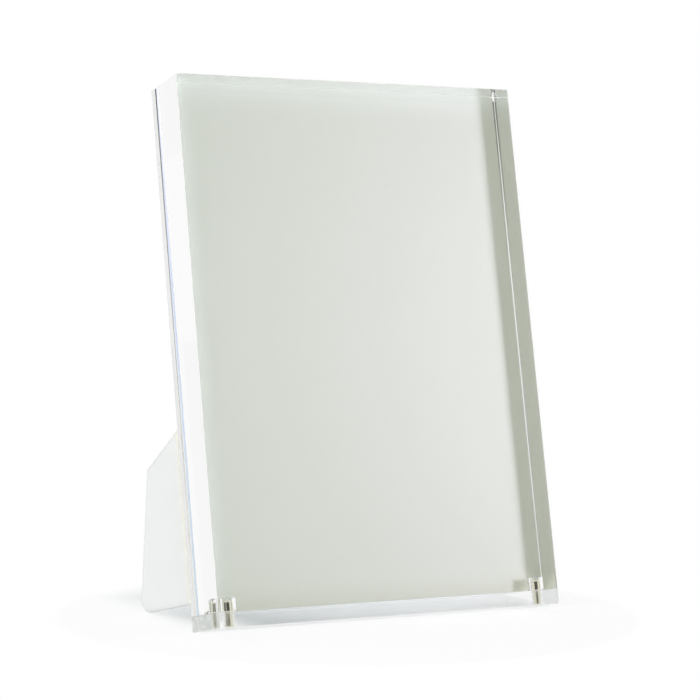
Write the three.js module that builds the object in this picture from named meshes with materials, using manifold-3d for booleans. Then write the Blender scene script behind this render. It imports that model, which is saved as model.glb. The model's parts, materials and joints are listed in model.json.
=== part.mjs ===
// Acrylic photo frame: a thick clear block stands on two metal pins in a clear foot bar, with the
// picture held between the block and a clear back. Two folding easel wings hold it up, leaning back.
// Millimetres, +Z up, the picture faces -Y, and the origin is on the table under the middle.
import * as THREE from 'three';
import { mergeVertices } from 'three/addons/utils/BufferGeometryUtils.js';
import Module from 'manifold-3d';

const wasm = await Module();
wasm.setup();

// Driving dimensions: the clear acrylic
const LEAN_ANGLE = 12;
const FRAME_WIDTH = 128;
const BLOCK_HEIGHT = 178;
const BLOCK_THICKNESS = 16;
const PANEL_THICKNESS = 3;
const BAR_HEIGHT = 5;
const EDGE_BREAK = 0.2;

// Driving dimensions: the sheets held between the block and the back
const PHOTO_CARD_THICKNESS = 0.4;
const BACKING_BOARD_THICKNESS = 2;
const SHEET_INSET = 0.2;

// Driving dimensions: the pins and their holes
const PIN_FROM_SIDE = 5.7;
const PIN_SHANK_DIAMETER = 3.8;
const PIN_SHOULDER = 0.7;
const PIN_HEAD_HEIGHT = 3.3;
const PIN_CHAMFER = 0.35;
const HOLE_HEADROOM = 1;
const HOLE_END_ANGLE = 164;
const HOLE_CHAMFER = 0.4;
const ROUND_STEPS = 48;

// Driving dimensions: the easel, measured from the rear of the back and up from the foot bar's underside
const PLASTIC_THICKNESS = 1.2;
const TAPE_THICKNESS = 0.8;
const TAPE_WIDTH = 12;
const TAPE_END_MARGIN = 6;
const TAPE_SIDE_MARGIN = 8;
const HINGE_FROM_SIDE = 4;
const WING_ROOT_HEIGHT = 70;
const WING_SHOULDER_REACH = 35.6;
const WING_SHOULDER_HEIGHT = 58;
const WING_FOOT_REACH = 46.8;
const WING_FOOT_LENGTH = 3.2;
const WING_TOE_RUN = 3.3;
const WING_TOE_RISE = 2.9;
const WING_CORNER_RADIUS = 1.5;
const CORNER_STEPS = 6;

// One clearance between neighbouring pieces
const FIT_GAP = 0.3;

// Places that follow from the sizes: y runs back from the block's face, z up the frame
const lean = THREE.MathUtils.degToRad(LEAN_ANGLE);
const halfWidth = FRAME_WIDTH / 2;
const pinHeadDiameter = PIN_SHANK_DIAMETER + 2 * PIN_SHOULDER;
const pinX = halfWidth - PIN_FROM_SIDE;
const pinY = BLOCK_THICKNESS / 2;
const deckZ = BAR_HEIGHT + FIT_GAP;
const photoFrontY = BLOCK_THICKNESS + FIT_GAP;
const backingFrontY = photoFrontY + PHOTO_CARD_THICKNESS + FIT_GAP;
const panelFrontY = backingFrontY + BACKING_BOARD_THICKNESS + FIT_GAP;
const rearY = panelFrontY + PANEL_THICKNESS;
const easelFrontY = rearY + FIT_GAP + TAPE_THICKNESS + FIT_GAP;
const easelRearY = easelFrontY + PLASTIC_THICKNESS;
const hingeX = halfWidth - HINGE_FROM_SIDE;
const easelHalfWidth = hingeX - FIT_GAP / 2;
const wingFootStart = WING_FOOT_REACH - WING_FOOT_LENGTH;
const wingBottomZ = tableZ(wingFootStart);

// Height of the table at a reach behind the back: it touches the bar's broken rear edge
function tableZ(reach) {
  return (reach + EDGE_BREAK) * Math.tan(lean);
}

// Ways to lay a flat outline: seen from the front, extruded forwards, or from the side, extruded in +X
const FACE_ON = new THREE.Matrix4().makeBasis(
  new THREE.Vector3(1, 0, 0),
  new THREE.Vector3(0, 0, 1),
  new THREE.Vector3(0, -1, 0),
);
const SIDE_ON = new THREE.Matrix4().makeBasis(
  new THREE.Vector3(0, 1, 0),
  new THREE.Vector3(0, 0, 1),
  new THREE.Vector3(1, 0, 0),
);

// A closed outline through corners [x, y, radius], with each corner rounded by its radius
function roundedOutline(corners) {
  const shape = new THREE.Shape();
  corners.forEach(([x, y, radius], index) => {
    const corner = new THREE.Vector2(x, y);
    const before = new THREE.Vector2(...corners.at(index - 1));
    const after = new THREE.Vector2(...corners[(index + 1) % corners.length]);
    const start = corner.clone().add(before.sub(corner).setLength(radius));
    const end = corner.clone().add(after.sub(corner).setLength(radius));
    if (index === 0) shape.moveTo(start.x, start.y);
    else shape.lineTo(start.x, start.y);
    if (radius > 0) shape.quadraticCurveTo(x, y, end.x, end.y);
  });
  shape.closePath();
  return shape;
}

// A rectangle given by its sides and its two heights
function rectangle(left, right, bottom, top) {
  return new THREE.Shape([
    new THREE.Vector2(left, bottom),
    new THREE.Vector2(right, bottom),
    new THREE.Vector2(right, top),
    new THREE.Vector2(left, top),
  ]);
}

// A sheet seen from the front, from frontY back through its thickness
function frontSheet(outline, frontY, thickness) {
  const sheet = new THREE.ExtrudeGeometry(outline, { depth: thickness, bevelEnabled: false });
  return sheet.applyMatrix4(FACE_ON).translate(0, frontY + thickness, 0);
}

// A clear acrylic slab with every edge broken by a small polished chamfer
function polishedSlab(bottom, top, frontY, thickness) {
  const corner = EDGE_BREAK;
  const outline = new THREE.Shape([
    new THREE.Vector2(-halfWidth + corner, bottom),
    new THREE.Vector2(halfWidth - corner, bottom),
    new THREE.Vector2(halfWidth, bottom + corner),
    new THREE.Vector2(halfWidth, top - corner),
    new THREE.Vector2(halfWidth - corner, top),
    new THREE.Vector2(-halfWidth + corner, top),
    new THREE.Vector2(-halfWidth, top - corner),
    new THREE.Vector2(-halfWidth, bottom + corner),
  ]);
  const slab = new THREE.ExtrudeGeometry(outline, {
    depth: thickness - 2 * EDGE_BREAK,
    bevelThickness: EDGE_BREAK,
    bevelSize: EDGE_BREAK,
    bevelOffset: -EDGE_BREAK,
    bevelSegments: 1,
  });
  return slab.applyMatrix4(FACE_ON).translate(0, frontY + thickness - EDGE_BREAK, 0);
}

// A solid of revolution about +Z through profile points [radius, height], bottom to top
function turned(profile) {
  const points = profile.map(([radius, height]) => new THREE.Vector2(radius, height));
  return new THREE.LatheGeometry(points, ROUND_STEPS).rotateX(Math.PI / 2);
}

// Merged vertices and whole triangles, as the boolean library needs them
function toSolid(geometry) {
  const plain = geometry.clone();
  plain.deleteAttribute('normal');
  plain.deleteAttribute('uv');
  const merged = mergeVertices(plain);
  const triangles = [];
  for (let i = 0; i < merged.index.count; i += 3) {
    const corners = [0, 1, 2].map((k) => merged.index.getX(i + k));
    if (new Set(corners).size === 3) triangles.push(...corners);
  }
  const vertProperties = new Float32Array(merged.attributes.position.array);
  const triVerts = new Uint32Array(triangles);
  return new wasm.Manifold(new wasm.Mesh({ numProp: 3, vertProperties, triVerts }));
}

function toGeometry(solid) {
  const mesh = solid.getMesh();
  const geometry = new THREE.BufferGeometry();
  geometry.setAttribute('position', new THREE.BufferAttribute(mesh.vertProperties, 3));
  geometry.setIndex(new THREE.BufferAttribute(mesh.triVerts, 1));
  geometry.computeVertexNormals();
  return geometry;
}

// Cuts one tool out of a piece at both pins
function cutAtPins(geometry, tool) {
  const [left, right] = [-pinX, pinX].map((x) => toSolid(tool.clone().translate(x, pinY, 0)));
  return toGeometry(toSolid(geometry).subtract(left).subtract(right));
}

// Front block: blind holes with a blunt end go up from its underside, past the heads of the pins
function frontBlock() {
  const holeRadius = pinHeadDiameter / 2 + FIT_GAP;
  const holeTop = deckZ + PIN_HEAD_HEIGHT + HOLE_HEADROOM;
  const pointHeight = holeRadius / Math.tan(THREE.MathUtils.degToRad(HOLE_END_ANGLE / 2));
  const drill = turned([
    [0, deckZ - HOLE_CHAMFER],
    [holeRadius + 2 * HOLE_CHAMFER, deckZ - HOLE_CHAMFER],
    [holeRadius, deckZ + HOLE_CHAMFER],
    [holeRadius, holeTop],
    [0, holeTop + pointHeight],
  ]);
  const slab = polishedSlab(deckZ, deckZ + BLOCK_HEIGHT, 0, BLOCK_THICKNESS);
  return cutAtPins(slab, drill);
}

// Foot bar: full depth, with a through hole for each pin's shank
function baseBar() {
  const holeRadius = PIN_SHANK_DIAMETER / 2 + FIT_GAP;
  const drill = turned([
    [0, -BAR_HEIGHT],
    [holeRadius, -BAR_HEIGHT],
    [holeRadius, 2 * BAR_HEIGHT],
    [0, 2 * BAR_HEIGHT],
  ]);
  return cutAtPins(polishedSlab(0, BAR_HEIGHT, 0, rearY), drill);
}

// Shouldered pin: the shank stands in the bar, the wider head rises into the block
function shoulderedPin() {
  const shank = PIN_SHANK_DIAMETER / 2;
  const head = pinHeadDiameter / 2;
  const top = deckZ + PIN_HEAD_HEIGHT;
  return turned([
    [0, FIT_GAP],
    [shank - PIN_CHAMFER, FIT_GAP],
    [shank, FIT_GAP + PIN_CHAMFER],
    [shank, deckZ],
    [head, deckZ],
    [head, top - PIN_CHAMFER],
    [head - PIN_CHAMFER, top],
    [0, top],
  ]);
}

// Easel wing at rest, square to the back: its foot is cut level with the table
function easelWing() {
  const footZ = tableZ(WING_FOOT_REACH);
  const rootY = rearY + FIT_GAP;
  const outline = roundedOutline([
    [rootY, wingBottomZ, 0],
    [rearY + wingFootStart, wingBottomZ, 0],
    [rearY + WING_FOOT_REACH, footZ, 0],
    [rearY + WING_FOOT_REACH + WING_TOE_RUN, footZ + WING_TOE_RISE, WING_CORNER_RADIUS],
    [rearY + WING_SHOULDER_REACH, WING_SHOULDER_HEIGHT, WING_CORNER_RADIUS],
    [rootY, WING_ROOT_HEIGHT, 0],
  ]);
  const options = { depth: PLASTIC_THICKNESS, bevelEnabled: false, curveSegments: CORNER_STEPS };
  return new THREE.ExtrudeGeometry(outline, options).applyMatrix4(SIDE_ON);
}

// Finishes
const clearAcrylic = new THREE.MeshStandardMaterial({
  color: 0xe6ece8,
  roughness: 0.04,
  metalness: 0,
  transparent: true,
  opacity: 0.35,
});
const brightMetal = new THREE.MeshStandardMaterial({ color: 0xd9dbdc, roughness: 0.12, metalness: 1 });
const paper = new THREE.MeshStandardMaterial({ color: 0xdde0da, roughness: 0.85, metalness: 0 });
const mountBoard = new THREE.MeshStandardMaterial({ color: 0xdedfd8, roughness: 0.9, metalness: 0 });
const frostedPlastic = new THREE.MeshStandardMaterial({
  color: 0xeef0ef,
  roughness: 0.55,
  metalness: 0,
  transparent: true,
  opacity: 0.9,
});
const foam = new THREE.MeshStandardMaterial({ color: 0xf1efe6, roughness: 0.95, metalness: 0 });

// The frame is built upright and leant back as one group
const frame = new THREE.Group();
function place(name, geometry, material, x = 0) {
  const mesh = new THREE.Mesh(geometry, material);
  mesh.name = name;
  mesh.position.x = x;
  frame.add(mesh);
}

const sheetBottom = deckZ;
const sheetTop = deckZ + BLOCK_HEIGHT - SHEET_INSET;
const sheetLeft = -halfWidth + SHEET_INSET;
const sheetRight = halfWidth - SHEET_INSET;
const sheetOutline = rectangle(sheetLeft, sheetRight, sheetBottom, sheetTop);

place('base_bar', baseBar(), clearAcrylic);
place('back_panel', polishedSlab(deckZ, deckZ + BLOCK_HEIGHT, panelFrontY, PANEL_THICKNESS), clearAcrylic);
place('left_pin', shoulderedPin().translate(-pinX, pinY, 0), brightMetal);
place('right_pin', shoulderedPin().translate(pinX, pinY, 0), brightMetal);
place('backing_board', frontSheet(sheetOutline, backingFrontY, BACKING_BOARD_THICKNESS), mountBoard);
place('photo_card', frontSheet(sheetOutline, photoFrontY, PHOTO_CARD_THICKNESS), paper);
place('front_block', frontBlock(), clearAcrylic);

const easelOutline = rectangle(-easelHalfWidth, easelHalfWidth, wingBottomZ, WING_ROOT_HEIGHT);
place('easel_panel', frontSheet(easelOutline, easelFrontY, PLASTIC_THICKNESS), frostedPlastic);

const tapeX = easelHalfWidth - TAPE_SIDE_MARGIN - TAPE_WIDTH / 2;
const tapeOutline = rectangle(
  -TAPE_WIDTH / 2,
  TAPE_WIDTH / 2,
  wingBottomZ + TAPE_END_MARGIN,
  WING_ROOT_HEIGHT - TAPE_END_MARGIN,
);
const tape = frontSheet(tapeOutline, rearY + FIT_GAP, TAPE_THICKNESS);
place('left_tape', tape, foam, -tapeX);
place('right_tape', tape, foam, tapeX);

const wingInnerX = hingeX + FIT_GAP / 2;
place('left_wing', easelWing(), frostedPlastic, -wingInnerX - PLASTIC_THICKNESS);
place('right_wing', easelWing(), frostedPlastic, wingInnerX);

// Lean the frame back, then set it down with the origin under the middle of its outer box
frame.rotation.x = -lean;
frame.updateMatrixWorld(true);
const outerBox = new THREE.Box3().setFromObject(frame, true);
const middle = outerBox.getCenter(new THREE.Vector3());
frame.position.set(-middle.x, -middle.y, -outerBox.min.z);
frame.updateMatrixWorld(true);

export default frame;
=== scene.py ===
import json
import math

import bmesh
import bpy
import numpy as np
from mathutils import Matrix, Vector


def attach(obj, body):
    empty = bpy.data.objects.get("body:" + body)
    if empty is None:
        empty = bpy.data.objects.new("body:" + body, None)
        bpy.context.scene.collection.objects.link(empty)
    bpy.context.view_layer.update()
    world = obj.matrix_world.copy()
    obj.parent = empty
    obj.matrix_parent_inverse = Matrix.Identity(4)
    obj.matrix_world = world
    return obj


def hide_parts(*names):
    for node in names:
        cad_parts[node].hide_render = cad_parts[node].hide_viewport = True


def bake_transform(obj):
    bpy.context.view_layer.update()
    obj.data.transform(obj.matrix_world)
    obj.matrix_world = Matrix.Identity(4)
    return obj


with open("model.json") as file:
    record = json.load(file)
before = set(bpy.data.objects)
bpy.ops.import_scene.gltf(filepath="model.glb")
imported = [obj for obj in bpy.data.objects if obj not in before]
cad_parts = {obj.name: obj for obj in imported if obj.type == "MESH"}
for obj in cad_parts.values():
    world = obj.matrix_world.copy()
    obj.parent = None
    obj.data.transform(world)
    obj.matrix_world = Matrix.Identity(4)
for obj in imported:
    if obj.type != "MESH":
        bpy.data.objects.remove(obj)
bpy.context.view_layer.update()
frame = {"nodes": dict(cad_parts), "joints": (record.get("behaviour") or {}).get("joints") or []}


# Foot bar
# A bar of clear cast acrylic with polished faces and its ends left from the saw. It has a hole drilled
# for each pin. The back is cemented to it along the rear, and the block stands on it in front.
MM = 0.001

# The frame leans back as a whole, so its pieces are measured along its own axes: across, back and up
lift = next(joint for joint in frame["joints"] if joint["name"] == "front_block_lift")
UP = Vector(lift["axis"]).normalized()
ACROSS = Vector((1, 0, 0))
BACK = UP.cross(ACROSS)
LEANT = Matrix((ACROSS, BACK, UP)).transposed()


def leant_box(node):
    """Lowest and highest corner of a CAD node along the leaning axes."""
    mesh = frame["nodes"][node].data
    points = np.empty(3 * len(mesh.vertices))
    mesh.vertices.foreach_get("co", points)
    along = points.reshape(-1, 3) @ np.array(LEANT)
    return Vector(along.min(axis=0)), Vector(along.max(axis=0))


class Value:
    """A socket of a node tree. Arithmetic on it adds Math nodes."""

    def __init__(self, nodes, socket):
        self.nodes = nodes
        self.socket = socket

    def math(self, operation, first, second=0.0):
        return self.nodes.node("ShaderNodeMath", {"operation": operation}, {0: first, 1: second})

    def __add__(self, other):
        return self.math("ADD", self, other)

    __radd__ = __add__

    def __mul__(self, other):
        return self.math("MULTIPLY", self, other)

    __rmul__ = __mul__

    def __sub__(self, other):
        return self.math("SUBTRACT", self, other)

    def __rsub__(self, other):
        return self.math("SUBTRACT", other, self)


class Nodes:
    """A node tree being built: a material's, the world's or a geometry tree."""

    def __init__(self, tree):
        self.tree = tree
        self.tree.nodes.clear()

    def node(self, kind, settings=None, sockets=None, out=0):
        """Adds a node, sets it up, fills or links its sockets, and gives one of its outputs."""
        made = self.tree.nodes.new(kind)
        for name, setting in (settings or {}).items():
            if name == "items":
                while len(made.index_switch_items) < setting:
                    made.index_switch_items.new()
            else:
                setattr(made, name, setting)
        for name, value in (sockets or {}).items():
            if isinstance(value, Value):
                self.tree.links.new(value.socket, made.inputs[name])
            else:
                made.inputs[name].default_value = value
        return Value(self, made.outputs[out]) if made.outputs else made

    def place(self, scale):
        """Object coordinates times a scale, in cycles per metre."""
        spot = self.node("ShaderNodeTexCoord", out="Object")
        return self.node("ShaderNodeMapping", {}, {"Vector": spot, "Scale": scale})

    def noise(self, scale, detail, roughness=0.5):
        """Uneven patches between 0 and 1, in cycles per metre."""
        return self.node(
            "ShaderNodeTexNoise",
            {},
            {"Vector": self.place(scale), "Scale": 1.0, "Detail": detail, "Roughness": roughness},
        )

    def bump(self, height, strength, depth):
        """Small relief, for a shader's Normal."""
        return self.node(
            "ShaderNodeBump",
            {},
            {"Strength": strength, "Distance": depth, "Height": height},
        )

    def along(self, axis):
        """How far a point lies along an axis, from the object's origin."""
        spot = self.node("ShaderNodeTexCoord", out="Object")
        return self.node(
            "ShaderNodeVectorMath",
            {"operation": "DOT_PRODUCT"},
            {0: spot, 1: axis},
            out="Value",
        )

    def ramp(self, value, low, high, start=0.0, end=1.0, kind="SMOOTHSTEP"):
        """A rise from start to end while the value goes from low to high."""
        return self.node(
            "ShaderNodeMapRange",
            {"interpolation_type": kind},
            {"Value": value, "From Min": low, "From Max": high, "To Min": start, "To Max": end},
        )

    def blend_colour(self, factor, low, high):
        """A mix of two colours, each written out or the output of a node."""
        first, last = ((*colour, 1) if isinstance(colour, tuple) else colour for colour in (low, high))
        return self.node(
            "ShaderNodeMix",
            {"data_type": "RGBA"},
            {"Factor": factor, "A": first, "B": last},
            out="Result",
        )

    def opaque(self, sockets):
        """Ends a material in one shader with these sockets."""
        shader = self.node("ShaderNodeBsdfPrincipled", {}, sockets)
        self.node("ShaderNodeOutputMaterial", {}, {"Surface": shader})


def new_finish(name):
    """An empty material and the node tree to fill."""
    material = bpy.data.materials.new(name)
    material.use_nodes = True
    return material, Nodes(material.node_tree)


ACRYLIC_TINT = (0.993, 0.998, 0.993, 1)
ACRYLIC_IOR = 1.49
SHADE_TINT = (0.97, 0.98, 0.97, 1)
RIPPLE_STRENGTH = 0.015
RIPPLE_DEPTH = 0.1 * MM
MOTTLE_START = 0.35
MOTTLE_END = 0.65


def acrylic(name, roughness, ripple=None, mottling=None, lets_lamps_through=False):
    """Clear cast acrylic, rippled or with a darker tint in uneven patches where asked for.

    What enters by an edge can't leave by a face, so only the faces let lamplight through.
    """
    material, nodes = new_finish(name)
    sockets = {
        "Base Color": ACRYLIC_TINT,
        "Roughness": roughness,
        "IOR": ACRYLIC_IOR,
        "Transmission Weight": 1.0,
    }
    if ripple:
        sockets["Normal"] = nodes.bump(nodes.noise(ripple, 2.0), RIPPLE_STRENGTH, RIPPLE_DEPTH)
    if mottling:
        scale, darker_tint, lighter_tint = mottling
        patches = nodes.ramp(nodes.noise(scale, 3.0), MOTTLE_START, MOTTLE_END)
        sockets["Base Color"] = nodes.blend_colour(patches, darker_tint, lighter_tint)
    shader = nodes.node("ShaderNodeBsdfPrincipled", {}, sockets)
    if lets_lamps_through:
        passing = nodes.node("ShaderNodeBsdfTransparent", {}, {"Color": SHADE_TINT})
        shadow = nodes.node("ShaderNodeLightPath", out="Is Shadow Ray")
        shader = nodes.node("ShaderNodeMixShader", {}, {0: shadow, 1: shader, 2: passing})
    nodes.node("ShaderNodeOutputMaterial", {}, {"Surface": shader})
    return material


# Which of a piece's finishes a face has
FACE, EDGE, WALL, END = range(4)
ACRYLIC_FINISHES = (
    acrylic("polished_acrylic_face", 0.0, lets_lamps_through=True),
    acrylic("polished_acrylic_edge", 0.0, ripple=(30, 120, 120)),
    acrylic("drilled_acrylic_wall", 0.03, ripple=(200, 200, 3000)),
    acrylic("frosted_hole_end", 0.45, ripple=(4000, 4000, 4000)),
)
TRIM = 0.03 * MM
EDGE_BREAK = 0.05 * MM
EDGE_STEPS = 1
FLAT_ON = 0.9


def slab(low, high):
    """A slab along the leaning axes, a hair inside its CAD box, with every edge broken a little."""
    work = bmesh.new()
    bmesh.ops.create_cube(work, size=1)
    middle = (low + high) / 2
    size = high - low - 2 * Vector((TRIM, TRIM, TRIM))
    for vertex in work.verts:
        vertex.co = middle + Vector(a * b for a, b in zip(vertex.co, size))
    bmesh.ops.bevel(
        work,
        geom=work.edges[:],
        offset=EDGE_BREAK,
        segments=EDGE_STEPS,
        profile=0.5,
        affect="EDGES",
    )
    for face in work.faces:
        face.material_index = FACE if abs(face.normal.y) > FLAT_ON else EDGE
    return work


def to_mesh(work, name):
    """Turns a shape being built into a mesh."""
    mesh = bpy.data.meshes.new(name)
    work.to_mesh(mesh)
    work.free()
    return mesh


HOLE_STEPS = 96
HOLE_END_SLOPE = 0.5
MERGE = 0.001 * MM


def drill(profile, centre):
    """The shape that a drill leaves: profile points of radius and height, turned about the up axis."""
    work = bmesh.new()
    points = [work.verts.new((centre.x + radius, centre.y, height)) for radius, height in profile]
    edges = [work.edges.new(pair) for pair in zip(points, points[1:])]
    bmesh.ops.spin(
        work,
        geom=points + edges,
        cent=(centre.x, centre.y, 0),
        axis=(0, 0, 1),
        angle=2 * math.pi,
        steps=HOLE_STEPS,
    )
    bmesh.ops.remove_doubles(work, verts=work.verts[:], dist=MERGE)
    bmesh.ops.recalc_face_normals(work, faces=work.faces[:])
    for face in work.faces:
        face.material_index = END if abs(face.normal.z) > HOLE_END_SLOPE else WALL
    return work


def machined(name, body, drills, finishes):
    """Cuts the drills, if any, out of a slab and leans it. The holes keep the drills' finishes."""
    solid = bpy.data.objects.new(name, to_mesh(body, name))
    tools = [bpy.data.objects.new("drill", to_mesh(work, "drill")) for work in drills]
    for helper in [solid, *tools]:
        for material in finishes:
            helper.data.materials.append(material)
        bpy.context.scene.collection.objects.link(helper)
    for tool in tools:
        cut = solid.modifiers.new("hole", "BOOLEAN")
        cut.operation = "DIFFERENCE"
        cut.solver = "EXACT"
        cut.object = tool
    graph = bpy.context.evaluated_depsgraph_get()
    mesh = bpy.data.meshes.new_from_object(solid.evaluated_get(graph))
    for helper in [solid, *tools]:
        bpy.data.objects.remove(helper)
    mesh.transform(LEANT.to_4x4())
    return mesh


SMOOTH_ANGLE = math.radians(20)


def add_piece(name, mesh, body, nodes):
    """Puts a finished mesh into the scene, on its body, in place of its CAD nodes."""
    mesh.name = name
    mesh.shade_smooth()
    mesh.set_sharp_from_angle(angle=SMOOTH_ANGLE)
    piece = bpy.data.objects.new(name, mesh)
    bpy.context.scene.collection.objects.link(piece)
    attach(piece, body)
    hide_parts(*nodes)
    return piece


SEAT = 0.02 * MM
SHANK_RADIUS = 1.9 * MM
SHANK_PLAY = 0.1 * MM
OVERRUN = 1 * MM
bar_low, bar_high = leant_box("base_bar")
block_low, block_high = leant_box("front_block")
block_low.z = bar_high.z + SEAT
pin_boxes = [leant_box(node) for node in ("left_pin", "right_pin")]
pin_centres = [(low + high) / 2 for low, high in pin_boxes]
shank_hole = [
    (0, bar_low.z - OVERRUN),
    (SHANK_RADIUS + SHANK_PLAY, bar_low.z - OVERRUN),
    (SHANK_RADIUS + SHANK_PLAY, bar_high.z + OVERRUN),
    (0, bar_high.z + OVERRUN),
]
REAMED_WALL = acrylic("reamed_acrylic_wall", 0.4, ripple=(200, 200, 3000))
# The sawn ends get a darker tint in uneven patches
SAWN_END = acrylic(
    "sawn_acrylic_end",
    0.3,
    ripple=(300, 300, 300),
    mottling=((700, 240, 420), (0.60, 0.645, 0.615), (0.86, 0.88, 0.865)),
)
bar_body = slab(bar_low, bar_high)
for face in bar_body.faces:
    if abs(face.normal.x) > FLAT_ON:
        face.material_index = END
bar_mesh = machined(
    "foot_bar",
    bar_body,
    [drill(shank_hole, centre) for centre in pin_centres],
    (*ACRYLIC_FINISHES[:2], REAMED_WALL, SAWN_END),
)
add_piece("foot_bar", bar_mesh, "stand", ["base_bar"])


# Back
# A sheet of the same clear acrylic with polished edges. It stands on the rear of the foot bar and is
# cemented to it.
panel_low, panel_high = leant_box("back_panel")
panel_low.z = block_low.z
back_mesh = machined("clear_back", slab(panel_low, panel_high), [], ACRYLIC_FINISHES)
add_piece("clear_back", back_mesh, "stand", ["back_panel"])


# Pins
# Two pins turned from bar and polished bright. The shank is pressed into the foot bar, and the wider
# head stands on the bar and locates the block.
PIN_STEPS = 96
PIN_CHAMFER = 0.35 * MM
METAL_COLOUR = (0.74, 0.72, 0.58, 1)
TURNING_MARKS = (40, 40, 6000)
pin_low, pin_high = pin_boxes[0]

bright_metal, nodes = new_finish("polished_bright_metal")
rings = nodes.noise(TURNING_MARKS, 3.0)
nodes.opaque(
    {
        "Base Color": METAL_COLOUR,
        "Metallic": 1.0,
        "Roughness": 0.03 + 0.05 * rings,
        "Normal": nodes.bump(rings, 0.1, 0.01 * MM),
    }
)


def turned_pins():
    """Geometry Nodes: a stepped, chamfered profile turned about the up axis, repeated across."""
    tree = bpy.data.node_groups.new("turned_pins", "GeometryNodeTree")
    nodes = Nodes(tree)
    sizes = ("Shank radius", "Head radius", "Bottom", "Shoulder", "Top", "Chamfer", "Spacing", "Depth")
    for name in sizes:
        tree.interface.new_socket(name, in_out="INPUT", socket_type="NodeSocketFloat")
    tree.interface.new_socket("Metal", in_out="INPUT", socket_type="NodeSocketMaterial")
    tree.interface.new_socket("Pins", in_out="OUTPUT", socket_type="NodeSocketGeometry")
    given = tree.nodes.new("NodeGroupInput")
    shank, head, bottom, shoulder, top, chamfer, spacing, depth = (
        Value(nodes, given.outputs[name]) for name in sizes
    )
    rows = [
        (0.0, bottom),
        (shank - chamfer, bottom),
        (shank, bottom + chamfer),
        (shank, shoulder),
        (head, shoulder),
        (head, top - chamfer),
        (head - chamfer, top),
        (0.0, top),
    ]
    grid = nodes.node(
        "GeometryNodeMeshGrid",
        {},
        {"Vertices X": PIN_STEPS + 1, "Vertices Y": len(rows)},
    )
    index = nodes.node("GeometryNodeInputIndex")
    row = index.math("MODULO", index, len(rows))
    turn = index.math("FLOOR", index.math("DIVIDE", index, len(rows)))
    angle = turn * (2 * math.pi / PIN_STEPS)
    radius, height = (
        nodes.node(
            "GeometryNodeIndexSwitch",
            {"data_type": "FLOAT", "items": len(rows)},
            {"Index": row, **{str(number): value for number, value in enumerate(column)}},
        )
        for column in zip(*rows)
    )
    spot = nodes.node(
        "ShaderNodeCombineXYZ",
        {},
        {
            "X": radius * angle.math("COSINE", angle),
            "Y": radius * angle.math("SINE", angle),
            "Z": height,
        },
    )
    turned = nodes.node("GeometryNodeSetPosition", {}, {"Geometry": grid, "Position": spot})
    closed = nodes.node("GeometryNodeMergeByDistance", {}, {"Geometry": turned, "Distance": MERGE})
    start = nodes.node("ShaderNodeCombineXYZ", {}, {"X": spacing * -0.5, "Y": depth})
    step = nodes.node("ShaderNodeCombineXYZ", {}, {"X": spacing})
    pair = nodes.node("GeometryNodeMeshLine", {}, {"Count": 2, "Start Location": start, "Offset": step})
    pins = nodes.node("GeometryNodeInstanceOnPoints", {}, {"Points": pair, "Instance": closed})
    real = nodes.node("GeometryNodeRealizeInstances", {}, {"Geometry": pins})
    metal = Value(nodes, given.outputs["Metal"])
    finished = nodes.node("GeometryNodeSetMaterial", {}, {"Geometry": real, "Material": metal})
    nodes.node("NodeGroupOutput", {}, {"Pins": finished})
    return tree


def grown(tree, sizes):
    """Runs a geometry tree with the given sizes and gives the plain mesh, with its faces outwards."""
    carrier = bpy.data.objects.new(tree.name, bpy.data.meshes.new(tree.name))
    bpy.context.scene.collection.objects.link(carrier)
    modifier = carrier.modifiers.new(tree.name, "NODES")
    modifier.node_group = tree
    for item in tree.interface.items_tree:
        if item.in_out == "INPUT":
            modifier[item.identifier] = sizes[item.name]
    graph = bpy.context.evaluated_depsgraph_get()
    mesh = bpy.data.meshes.new_from_object(carrier.evaluated_get(graph))
    bpy.data.objects.remove(carrier)
    work = bmesh.new()
    work.from_mesh(mesh)
    bmesh.ops.recalc_face_normals(work, faces=work.faces[:])
    work.to_mesh(mesh)
    work.free()
    return mesh


head_radius = (pin_high.x - pin_low.x) / 2
pins_mesh = grown(
    turned_pins(),
    {
        "Shank radius": SHANK_RADIUS,
        "Head radius": head_radius,
        "Bottom": pin_low.z,
        "Shoulder": block_low.z,
        "Top": pin_high.z,
        "Chamfer": PIN_CHAMFER,
        "Spacing": pin_centres[1].x - pin_centres[0].x,
        "Depth": pin_centres[0].y,
        "Metal": bright_metal,
    },
)
pins_mesh.transform(LEANT.to_4x4())
add_piece("turned_pins", pins_mesh, "stand", ["left_pin", "right_pin"])


# Backing board
# A sheet of white-cored mount board, cut square, that keeps the insert flat against the block. Its rear
# is lined with grey pulp, so the cut edge is pale with a grey line along its rear. Painted shade darkens
# that grey line towards the top and the pale middle of the edge towards the bottom, and a bluish line of
# painted shade and reflection runs along the edge near the front.
SHEET_INSET = 0.05 * MM
LINER = 0.9 * MM
LINER_RISE = 0.4 * MM
LINER_FADE = 0.2 * MM
LINE_HALF = 0.75 * MM
LINE_FADE_END = 1.4 * LINE_HALF
LINE_RISE = 1.7 * MM
board_low, board_high = leant_box("backing_board")
card_low, card_high = leant_box("photo_card")
sheet_middle = (card_high.y + board_low.y) / 2
for low, high in ((card_low, card_high), (board_low, board_high)):
    low.x = block_low.x + SHEET_INSET
    high.x = block_high.x - SHEET_INSET
    high.z = block_high.z - SHEET_INSET
    low.z = block_low.z
card_low.y = block_high.y + SEAT
card_high.y = sheet_middle - SEAT / 2
board_low.y = sheet_middle + SEAT / 2
board_high.y = panel_low.y - SEAT

pulp_finish, nodes = new_finish("grey_pulp_liner")
flecks = nodes.noise((2200, 2200, 2200), 4.0, 0.7)
nodes.opaque(
    {
        "Base Color": nodes.blend_colour(flecks, (0.50, 0.51, 0.46), (0.62, 0.63, 0.58)),
        "Roughness": 0.9,
        "Normal": nodes.bump(flecks, 0.3, 0.05 * MM),
    }
)

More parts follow.
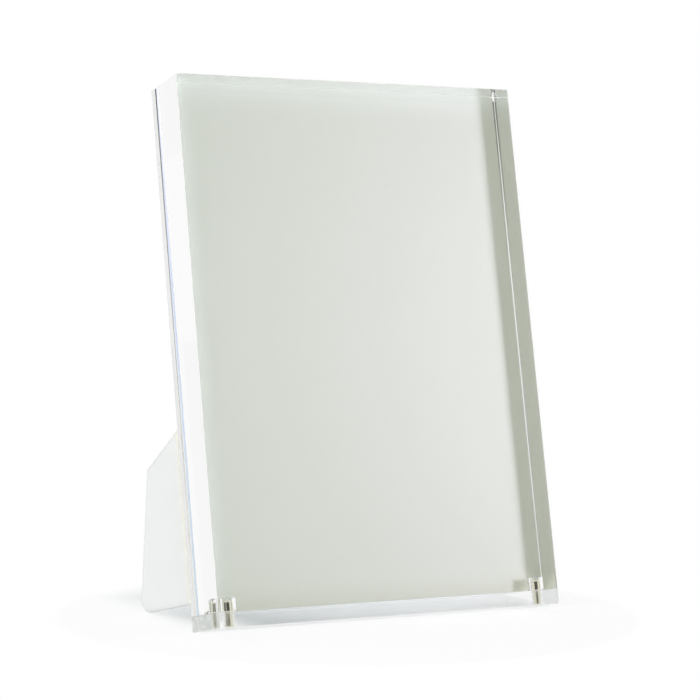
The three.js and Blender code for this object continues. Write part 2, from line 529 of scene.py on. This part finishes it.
painted_edge_finish, nodes = new_finish("cut_sheet_edges_painted_shade")
flecks = nodes.noise((2500, 2500, 900), 3.0)
depth = nodes.along(BACK) - block_high.y
height = nodes.ramp(nodes.along(UP), board_low.z, board_high.z, kind="LINEAR")
bow = height * height
# Painted shade: the pale middle of the edge is darker towards the bottom
core_and_shade = nodes.blend_colour(height, (0.58, 0.60, 0.60), (0.80, 0.82, 0.82))
core_and_shade = nodes.blend_colour(0.3 * flecks, core_and_shade, (0.90, 0.92, 0.92))
# Painted shade and reflection: a bluish line near the front of the edge, rising and turning paler towards
# the top
painted_seam_line = depth - bow * LINE_RISE - LINE_HALF
painted_seam_line = nodes.ramp(painted_seam_line.math("ABSOLUTE", painted_seam_line), LINE_HALF, LINE_FADE_END, 1.0, 0.0)
painted_seam_colour = nodes.blend_colour(height, (0.48, 0.56, 0.63), (0.62, 0.66, 0.88))
# The grey pulp's cut edge, with painted shade that darkens it to near black towards the top
lined = board_high.y - block_high.y - LINER - LINER_RISE * bow
liner_and_shade = nodes.ramp(depth - lined, 0.0, LINER_FADE)
liner_and_shade_colour = nodes.blend_colour(height, (0.62, 0.63, 0.61), (0.10, 0.11, 0.08))
edge_colour = nodes.blend_colour(liner_and_shade, nodes.blend_colour(painted_seam_line, core_and_shade, painted_seam_colour), liner_and_shade_colour)
nodes.opaque(
    {
        "Base Color": edge_colour,
        "Roughness": 0.8,
        "Normal": nodes.bump(flecks, 0.2, 0.02 * MM),
    }
)
board_mesh = machined("mount_board", slab(board_low, board_high), [], (pulp_finish, painted_edge_finish))
add_piece("mount_board", board_mesh, "backing_board", ["backing_board"])


# Insert
# A sheet of pale uncoated card, cut to the size of the block, in front of the board. Its right edge is
# cut a little hollow and its top right corner is clipped. A dark line of painted shade runs along the
# right edge towards the top, standing in for the shaded gap beside that edge.
PAINTED_SHADE_WIDTH = 0.85 * MM
PAINTED_SHADE_FADE = 0.15 * MM
PAINTED_SHADE_START = 0.65
HOLLOW = 0.22 * MM
HOLLOW_STEPS = 16
CLIP = 2.0 * MM
PAINTED_SHADE_COLOUR = (0.23, 0.24, 0.21)
paper_finish, nodes = new_finish("pale_insert_paper")
fibres = nodes.noise((900, 900, 2600), 4.0, 0.65)
paper_colour = nodes.blend_colour(fibres, (0.785, 0.805, 0.76), (0.835, 0.855, 0.81))
height = nodes.ramp(nodes.along(UP), card_low.z, card_high.z, kind="LINEAR")
# Painted shade: a dark line along the right edge that grows towards the top, for the shaded gap there
painted_shade_side = card_high.x - PAINTED_SHADE_WIDTH
painted_shade = nodes.ramp(nodes.along(ACROSS), painted_shade_side, painted_shade_side + PAINTED_SHADE_FADE)
painted_shade = painted_shade * nodes.ramp(height, PAINTED_SHADE_START, 1.0, kind="LINEAR")
nodes.opaque(
    {
        "Base Color": nodes.blend_colour(painted_shade, paper_colour, PAINTED_SHADE_COLOUR),
        "Roughness": 0.85,
        "Normal": nodes.bump(fibres, 0.15, 0.02 * MM),
    }
)


def hollowed(work, low, high, depth):
    """Bows the right edge of a sheet inwards."""
    middle = (low + high) / 2
    for step in range(1, HOLLOW_STEPS):
        bmesh.ops.bisect_plane(
            work,
            geom=work.verts[:] + work.edges[:] + work.faces[:],
            plane_co=(0, 0, low.z + (high.z - low.z) * step / HOLLOW_STEPS),
            plane_no=(0, 0, 1),
        )
    for vertex in work.verts:
        if vertex.co.x > middle.x:
            vertex.co.x -= depth * math.sin(math.pi * (vertex.co.z - low.z) / (high.z - low.z))
    return work


def clipped(work, corner, size):
    """Cuts off the top right corner of a sheet."""
    cut = bmesh.ops.bisect_plane(
        work,
        geom=work.verts[:] + work.edges[:] + work.faces[:],
        plane_co=(corner.x - size, 0, corner.z),
        plane_no=(1, 0, 1),
        clear_outer=True,
    )
    rim = [part for part in cut["geom_cut"] if isinstance(part, bmesh.types.BMEdge)]
    for face in bmesh.ops.edgenet_fill(work, edges=rim)["faces"]:
        face.material_index = EDGE
    return work


card_body = hollowed(slab(card_low, card_high), card_low, card_high, HOLLOW)
card_body = clipped(card_body, card_high, CLIP)
card_mesh = machined("insert_card", card_body, [], (paper_finish, painted_edge_finish))
add_piece("insert_card", card_mesh, "photo_card", ["photo_card"])


# Block
# A thick block of clear cast acrylic, polished all over. Two blind holes in its underside, with their
# blunt ends still frosted by the cutter, drop over the heads of the pins.
HEAD_PLAY = 0.3 * MM
HEADROOM = 1.0 * MM
HOLE_CHAMFER = 0.4 * MM
HOLE_END = math.radians(164)
hole_radius = head_radius + HEAD_PLAY
hole_top = pin_high.z + HEADROOM
head_hole = [
    (0, block_low.z - HOLE_CHAMFER),
    (hole_radius + 2 * HOLE_CHAMFER, block_low.z - HOLE_CHAMFER),
    (hole_radius, block_low.z + HOLE_CHAMFER),
    (hole_radius, hole_top),
    (0, hole_top + hole_radius / math.tan(HOLE_END / 2)),
]
block_mesh = machined(
    "clear_block",
    slab(block_low, block_high),
    [drill(head_hole, centre) for centre in pin_centres],
    ACRYLIC_FINISHES,
)
add_piece("clear_block", block_mesh, "front_block", ["front_block"])


# Tape
# Two strips of white foam tape, cut to length and sticky on both sides. They hold the easel to the
# rear of the back.
TAPE_EDGE = 0.2 * MM
TAPE_STEPS = 3
foam_finish, nodes = new_finish("white_foam_tape")
cells = nodes.node("ShaderNodeTexVoronoi", {}, {"Vector": nodes.place((1, 1, 1)), "Scale": 3500.0})
nodes.opaque(
    {
        "Base Color": nodes.blend_colour(cells, (0.80, 0.79, 0.74), (0.88, 0.87, 0.83)),
        "Roughness": 0.95,
        "Normal": nodes.bump(cells, 0.4, 0.05 * MM),
    }
)
FLAT_ANGLE = math.radians(1)
CORNER_ANGLE = math.radians(45)


def softened_copy(node, edge, steps, material):
    """A copy of a CAD sheet with its cut edges rounded off."""
    work = bmesh.new()
    work.from_mesh(frame["nodes"][node].data)
    bmesh.ops.remove_doubles(work, verts=work.verts[:], dist=MERGE)
    bmesh.ops.dissolve_limit(
        work,
        angle_limit=FLAT_ANGLE,
        verts=work.verts[:],
        edges=work.edges[:],
    )
    corners = [line for line in work.edges if line.calc_face_angle(0) > CORNER_ANGLE]
    bmesh.ops.bevel(
        work,
        geom=corners,
        offset=edge,
        segments=steps,
        profile=0.5,
        affect="EDGES",
    )
    mesh = to_mesh(work, node)
    mesh.materials.clear()
    mesh.materials.append(material)
    return mesh


for side in ("left", "right"):
    tape_mesh = softened_copy(f"{side}_tape", TAPE_EDGE, TAPE_STEPS, foam_finish)
    add_piece(f"{side}_foam_tape", tape_mesh, "stand", [f"{side}_tape"])


# Easel
# A die-cut sheet of frosted polypropylene. Its middle is stuck to the back, and the wings creased off
# its sides stand square to it and carry the frame.
SHEET_EDGE = 0.15 * MM
SHEET_STEPS = 2
RIM_SHADE_WIDTH = 1.2 * MM
FOLD_WIDTH = 3 * MM
FOLD_REACH = 3.5 * MM
FOLD_REACH_END = 7 * MM
GLOW_SHARE = 0.4
easel_low, easel_high = leant_box("easel_panel")
frosted_finish, nodes = new_finish("frosted_easel_plastic")
grain = nodes.noise((4000, 4000, 4000), 2.0)
across = nodes.along(ACROSS)
behind = nodes.along(BACK) - easel_high.y
folded = nodes.ramp(across.math("ABSOLUTE", across), easel_high.x - FOLD_WIDTH, easel_high.x)
folded = folded * nodes.ramp(behind, FOLD_REACH, FOLD_REACH_END, 1.0, 0.0)
rim = nodes.node("ShaderNodeAttribute", {"attribute_name": "rim"}, out="Fac")
sheet_colour = nodes.blend_colour(folded, (0.86, 0.875, 0.87), (0.90, 0.875, 0.76))
# Painted shade: the band along the outline is painted darker, where the frosted sheet's edge looks darker
sheet_colour = nodes.blend_colour(rim, sheet_colour, (0.74, 0.755, 0.75))
skin = nodes.node(
    "ShaderNodeBsdfPrincipled",
    {},
    {
        "Base Color": sheet_colour,
        "Roughness": 0.45 + 0.15 * grain,
        "Normal": nodes.bump(grain, 0.15, 0.03 * MM),
    },
)
glow = nodes.node("ShaderNodeBsdfTranslucent", {}, {"Color": (0.87, 0.885, 0.88, 1)})
nodes.node(
    "ShaderNodeOutputMaterial",
    {},
    {"Surface": nodes.node("ShaderNodeMixShader", {}, {0: GLOW_SHARE, 1: skin, 2: glow})},
)
BROAD_SHARE = 0.8


def pressed_rim(mesh, width):
    """Marks a band along a sheet's outline, which is painted darker: painted shade along the frosted
    sheet's edge.
    """
    work = bmesh.new()
    work.from_mesh(mesh)
    mark = work.verts.layers.float.new("rim")
    broad = max(face.calc_area() for face in work.faces)
    sides = [face for face in work.faces if face.calc_area() > BROAD_SHARE * broad]
    for vertex in work.verts:
        vertex[mark] = 1.0
    bmesh.ops.inset_individual(work, faces=sides, thickness=width)
    for side in sides:
        for vertex in side.verts:
            vertex[mark] = 0.0
    work.to_mesh(mesh)
    work.free()


easel_sheets = {"easel_panel": "stand", "left_wing": "left_wing", "right_wing": "right_wing"}
for node, body in easel_sheets.items():
    sheet_mesh = softened_copy(node, SHEET_EDGE, SHEET_STEPS, frosted_finish)
    pressed_rim(sheet_mesh, RIM_SHADE_WIDTH)
    add_piece(f"frosted_{node}", sheet_mesh, body, [node])


# Creases
# The thin skin that is left where the sheet is pressed for a fold. It joins each wing to the middle
# of the easel.
CREASE_SKIN = 0.1 * MM
CREASE_LAP = 2.0 * MM
CREASE_TURN = 0.5 * MM
CREASE_STEPS = 6
CREASE_CLEAR = 0.01 * MM


def crease_path(side, inset):
    """The skin's section across and back: along the easel's rear, round the corner, along the wing."""
    wing_low, wing_high = leant_box(f"{side}_wing")
    inner = wing_high.x if side == "left" else wing_low.x
    inwards = 1 if side == "left" else -1
    across = inner + inwards * (CREASE_CLEAR + inset)
    back = easel_high.y + CREASE_CLEAR + inset
    turn = CREASE_TURN - inset
    arc = []
    for step in range(CREASE_STEPS + 1):
        angle = math.pi / 2 * step / CREASE_STEPS
        out = turn * (1 - math.sin(angle))
        rise = turn * (1 - math.cos(angle))
        arc.append((across + inwards * out, back + rise))
    return [(across + inwards * CREASE_LAP, back), *arc, (across, back + CREASE_LAP)]


for side in ("left", "right"):
    outer = crease_path(side, 0)
    section = outer + crease_path(side, CREASE_SKIN)[::-1]
    work = bmesh.new()
    corners = [work.verts.new((across, back, easel_low.z)) for across, back in section]
    flat = work.faces.new(corners)
    raised = bmesh.ops.extrude_face_region(work, geom=[flat])["geom"]
    upper = [part for part in raised if isinstance(part, bmesh.types.BMVert)]
    tall = Vector((0, 0, easel_high.z - easel_low.z))
    bmesh.ops.translate(work, vec=tall, verts=upper)
    bmesh.ops.recalc_face_normals(work, faces=work.faces[:])
    crease_mesh = to_mesh(work, f"{side}_crease")
    crease_mesh.transform(LEANT.to_4x4())
    crease_mesh.materials.append(frosted_finish)
    crease_mesh.shade_smooth()
    crease_mesh.set_sharp_from_angle(angle=SMOOTH_ANGLE)
    crease = bpy.data.objects.new(f"{side}_crease", crease_mesh)
    bpy.context.scene.collection.objects.link(crease)
    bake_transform(crease)


# Table
# A plain pale table top that runs out into the white surround. It is matt under and behind the object,
# where it keeps the object's shadow.
TABLE_SIZE = 6.0
TABLE_COLOUR = (0.72, 0.73, 0.74, 1)
TABLE_IN_ACRYLIC = (0.93, 0.93, 0.93)
FORWARDS = Vector((0, -1, 0))

# How the table turns white: from where to where, in metres, and how white it is at both
WHITE_IN_FRONT = (0.010, 0.018, 0.06, 0.94)
WHITE_AT_LEFT = (-0.070, -0.034, 0.9, 0.0)
WHITE_AT_RIGHT = (0.056, 0.080, 0.0, 0.9)
WHITE_FURTHER_OUT = (0.065, 0.105, 0.0, 1.0)
work = bmesh.new()
bmesh.ops.create_grid(work, x_segments=1, y_segments=1, size=TABLE_SIZE / 2)
table_mesh = to_mesh(work, "pale_table")
table_finish, nodes = new_finish("pale_table_top")


def first_sight(nodes):
    """1 where the viewer looks straight, by reflection or through acrylic, and 0 for light's own paths."""
    kinds = [
        nodes.node("ShaderNodeLightPath", out=name)
        for name in ("Is Camera Ray", "Is Glossy Ray", "Is Transmission Ray")
    ]
    bounces = nodes.node("ShaderNodeLightPath", out="Diffuse Depth")
    return (kinds[0] + kinds[1] + kinds[2]) * bounces.math("LESS_THAN", bounces, 0.5)


matt = nodes.node("ShaderNodeBsdfDiffuse", {}, {"Color": TABLE_COLOUR})
seen_straight = nodes.node("ShaderNodeLightPath", out="Is Camera Ray")
table_white = nodes.blend_colour(seen_straight, TABLE_IN_ACRYLIC, (1, 1, 1))
white = nodes.node("ShaderNodeEmission", {}, {"Color": table_white, "Strength": 1.0})
reach = nodes.node(
    "ShaderNodeVectorMath",
    {"operation": "LENGTH"},
    {0: nodes.node("ShaderNodeTexCoord", out="Object")},
    out="Value",
)
in_front = nodes.ramp(nodes.along(FORWARDS), *WHITE_IN_FRONT)
across = nodes.along(ACROSS)
beside = nodes.ramp(across, *WHITE_AT_LEFT) + nodes.ramp(across, *WHITE_AT_RIGHT)
further_out = nodes.ramp(reach, *WHITE_FURTHER_OUT)
whiteness = in_front.math("MAXIMUM", in_front, beside)
whiteness = whiteness.math("MAXIMUM", whiteness, further_out)
nodes.node(
    "ShaderNodeOutputMaterial",
    {},
    {
        "Surface": nodes.node(
            "ShaderNodeMixShader",
            {},
            {0: first_sight(nodes) * whiteness, 1: matt, 2: white},
        )
    },
)
table_mesh.materials.append(table_finish)
table = bpy.data.objects.new("pale_table", table_mesh)
bpy.context.scene.collection.objects.link(table)


# Light
# A white studio, bright behind and dimmer in front, with bright panels at the rear left and front right
# and a soft spot at the front right. The acrylic and the metal show a white surround instead, with a
# dark place behind the viewer, so that the pins get their dark stripes.
FRONT_COLOUR = (0.39, 0.39, 0.285)
REAR_COLOUR = (0.66, 0.74, 0.75)
LEFT_PANEL_COLOUR = (3.15, 3.05, 3.1)
RIGHT_PANEL_COLOUR = (3.7, 4.15, 4.35)
SURROUND_IN_ACRYLIC = 0.965
DARK_SHARE = 0.985
DARK_REFLECTIONS = 2

# Azimuth and elevation, and how far round it each reaches in full and at all, in degrees
REAR = (180, 20, 60, 110)
LEFT_PANEL = (-122, 20, 28, 52)
RIGHT_PANEL = (38, 6, 8, 16)
SKY = (0, 90, 82, 90)
DARK_PLACE = (-33, 10, 42, 54)
world = bpy.data.worlds.new("white_studio")
world.use_nodes = True
world.cycles.sampling_method = "NONE"
bpy.context.scene.world = world
nodes = Nodes(world.node_tree)
heading = nodes.node("ShaderNodeTexCoord", out="Generated")


def heading_vector(azimuth, elevation):
    """A direction from the object: azimuth 0 is to the front, 90 to the right."""
    turn = math.radians(azimuth)
    rise = math.radians(elevation)
    return Vector((math.sin(turn) * math.cos(rise), -math.cos(turn) * math.cos(rise), math.sin(rise)))


def around(azimuth, elevation, inner, outer):
    """1 within an angle of a direction, falling to 0 at an outer angle."""
    near = nodes.node(
        "ShaderNodeVectorMath",
        {"operation": "DOT_PRODUCT"},
        {0: heading, 1: heading_vector(azimuth, elevation)},
        out="Value",
    )
    return nodes.ramp(near, math.cos(math.radians(outer)), math.cos(math.radians(inner)))


lit_colour = nodes.blend_colour(around(*REAR), FRONT_COLOUR, REAR_COLOUR)
lit_colour = nodes.blend_colour(around(*LEFT_PANEL), lit_colour, LEFT_PANEL_COLOUR)
lit_colour = nodes.blend_colour(around(*RIGHT_PANEL), lit_colour, RIGHT_PANEL_COLOUR)
lit = nodes.node("ShaderNodeBackground", {}, {"Color": lit_colour, "Strength": 1.0})
seen_straight = nodes.node("ShaderNodeLightPath", out="Is Camera Ray")
shown = nodes.ramp(seen_straight, 0.0, 1.0, SURROUND_IN_ACRYLIC, 1.0, kind="LINEAR")
reflections = nodes.node("ShaderNodeLightPath", out="Glossy Depth")
few_reflections = reflections.math("LESS_THAN", reflections, DARK_REFLECTIONS + 0.5)
dark = DARK_SHARE * around(*DARK_PLACE) * around(*SKY) * few_reflections
shown = shown * (1.0 - dark)
shown_colour = nodes.blend_colour(shown, (0, 0, 0), (1, 1, 1))
white = nodes.node("ShaderNodeBackground", {}, {"Color": shown_colour, "Strength": 1.0})
nodes.node(
    "ShaderNodeOutputWorld",
    {},
    {"Surface": nodes.node("ShaderNodeMixShader", {}, {0: first_sight(nodes), 1: lit, 2: white})},
)

SPOT_AIM = Vector((0.164, -0.02, 0.09))
SPOT_HEADING = (19.3, 12)
SPOT_REACH = 1.2
SPOT_CONE = math.radians(22.6)
spot_data = bpy.data.lights.new("soft_spot", "SPOT")
spot_data.energy = 34.0
spot_data.color = (0.915, 0.79, 1.0)
spot_data.shadow_soft_size = 0.13
spot_data.spot_size = SPOT_CONE
spot_data.spot_blend = 1.0
spot = bpy.data.objects.new("soft_spot", spot_data)
spot.location = SPOT_AIM + heading_vector(*SPOT_HEADING) * SPOT_REACH
spot.rotation_euler = (SPOT_AIM - spot.location).to_track_quat("-Z", "Y").to_euler()
spot.visible_glossy = False
spot.visible_transmission = False
bpy.context.scene.collection.objects.link(spot)


# Camera
# It stands where the photograph was taken from: to the left of the frame, at two thirds of its height
# and about three quarters of a metre away, looking almost level.
CAMERA_PLACE = Vector((-349.1, -680.6, 119.9)) * MM
CAMERA_YAW = math.radians(27.21)
CAMERA_PITCH = math.radians(2.13)
CAMERA_ROLL = math.radians(0.45)
CAMERA_LENS = 113.97
SENSOR_WIDTH = 36.0
NEAREST = 0.01
camera_data = bpy.data.cameras.new("camera")
camera_data.lens = CAMERA_LENS
camera_data.sensor_width = SENSOR_WIDTH
camera_data.clip_start = NEAREST
camera = bpy.data.objects.new("camera", camera_data)
camera.location = CAMERA_PLACE
tilt = Matrix.Rotation(math.pi / 2 - CAMERA_PITCH, 3, "X") @ Matrix.Rotation(CAMERA_ROLL, 3, "Z")
camera.rotation_euler = (Matrix.Rotation(-CAMERA_YAW, 3, "Z") @ tilt).to_euler()
bpy.context.scene.collection.objects.link(camera)
scene = bpy.context.scene
scene.camera = camera
scene.view_settings.view_transform = "Standard"

# Sight is reflected many times between the faces of the block before it leaves
SIGHT_BOUNCES = 48
SHADE_BOUNCES = 32
scene.cycles.max_bounces = SIGHT_BOUNCES
scene.cycles.glossy_bounces = SIGHT_BOUNCES
scene.cycles.transmission_bounces = SIGHT_BOUNCES
scene.cycles.transparent_max_bounces = SHADE_BOUNCES
scene.cycles.blur_glossy = 0.0
